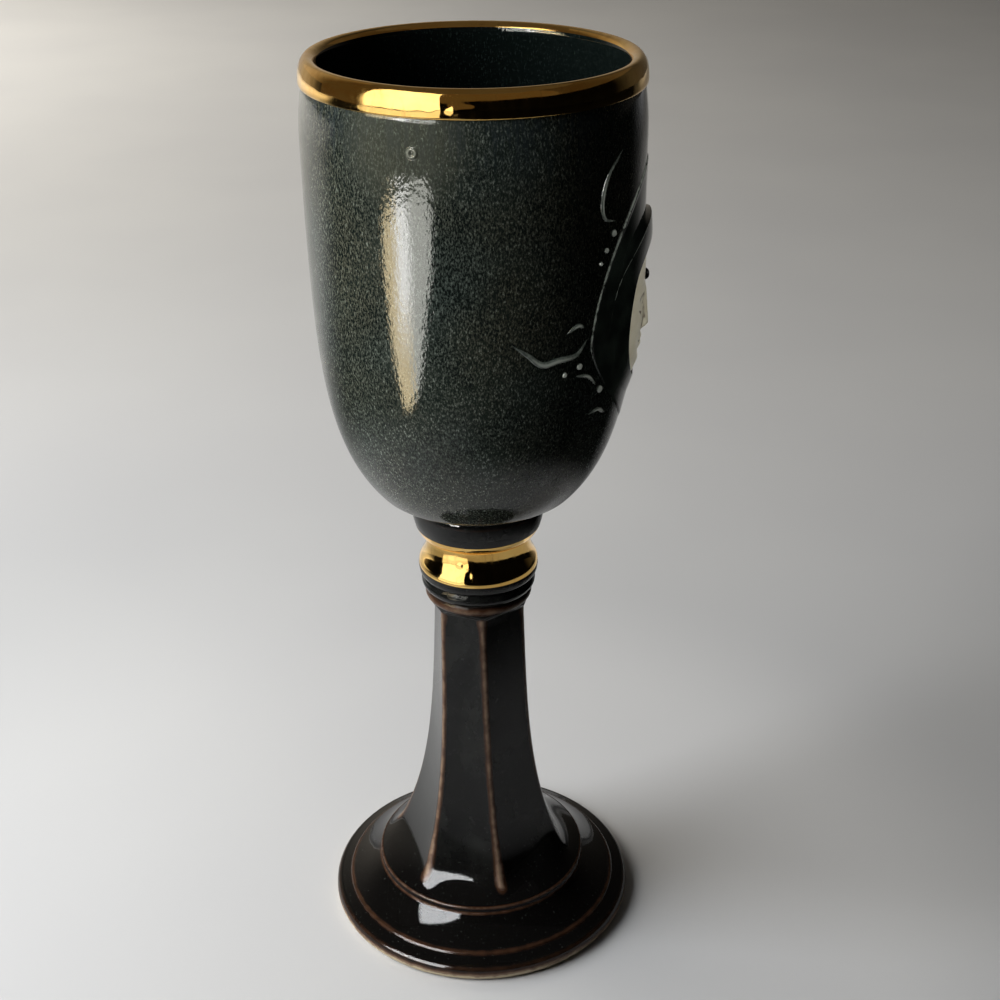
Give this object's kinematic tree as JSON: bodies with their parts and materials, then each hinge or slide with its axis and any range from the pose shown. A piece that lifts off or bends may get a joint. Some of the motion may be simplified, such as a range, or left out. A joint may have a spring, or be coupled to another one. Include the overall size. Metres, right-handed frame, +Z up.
{
  "type": "ceramic chalice",
  "caption": "Tall stoneware chalice: deep speckled dark cup with gilt lip, gilt knop, faceted hollow stem, ridged round foot and a hooded face in low relief; free-standing drinking vessel.",
  "frame": {"origin": "centre of the foot's resting face, on the axis of the stem", "axes": "+Z up along the axis; the relief faces +X"},
  "size_m": [0.0797, 0.0796, 0.225],
  "materials": {
    "cup_glaze": "gloss green-black glaze with fine pale speckle",
    "stem_glaze": "gloss black-brown glaze breaking to rust on the edges",
    "gold_lustre": "mirror gold lustre over glaze",
    "relief_glaze": "gloss black glaze",
    "ivory_glaze": "satin ivory with brown in the hollows",
    "slip_glaze": "gloss grey-green slip under glaze"
  },
  "bodies": {
    "root": {"foot": "stem_glaze", "stem": "stem_glaze", "neck_ring": "stem_glaze", "knop": "gold_lustre", "cup_collar": "stem_glaze", "cup": "cup_glaze", "gilt_lip": "gold_lustre", "relief_mantle": "relief_glaze", "relief_hood": "relief_glaze", "relief_face": "ivory_glaze", "brow_bead": "relief_glaze", "slip_crescent_left": "slip_glaze", "slip_dash_left": "slip_glaze", "slip_wave_left": "slip_glaze", "slip_hook_left": "slip_glaze", "slip_stroke_left": "slip_glaze", "slip_crescent_right": "slip_glaze", "slip_dash_right": "slip_glaze", "slip_wave_right": "slip_glaze", "slip_hook_right": "slip_glaze", "slip_stroke_right": "slip_glaze", "slip_dot_1_left": "slip_glaze", "slip_dot_2_left": "slip_glaze", "slip_dot_3_left": "slip_glaze", "slip_dot_4_left": "slip_glaze", "slip_dot_5_left": "slip_glaze", "slip_dot_6_left": "slip_glaze", "slip_dot_1_right": "slip_glaze", "slip_dot_2_right": "slip_glaze", "slip_dot_3_right": "slip_glaze", "slip_dot_4_right": "slip_glaze", "slip_dot_5_right": "slip_glaze", "slip_dot_6_right": "slip_glaze"}
  },
  "joints": []
}
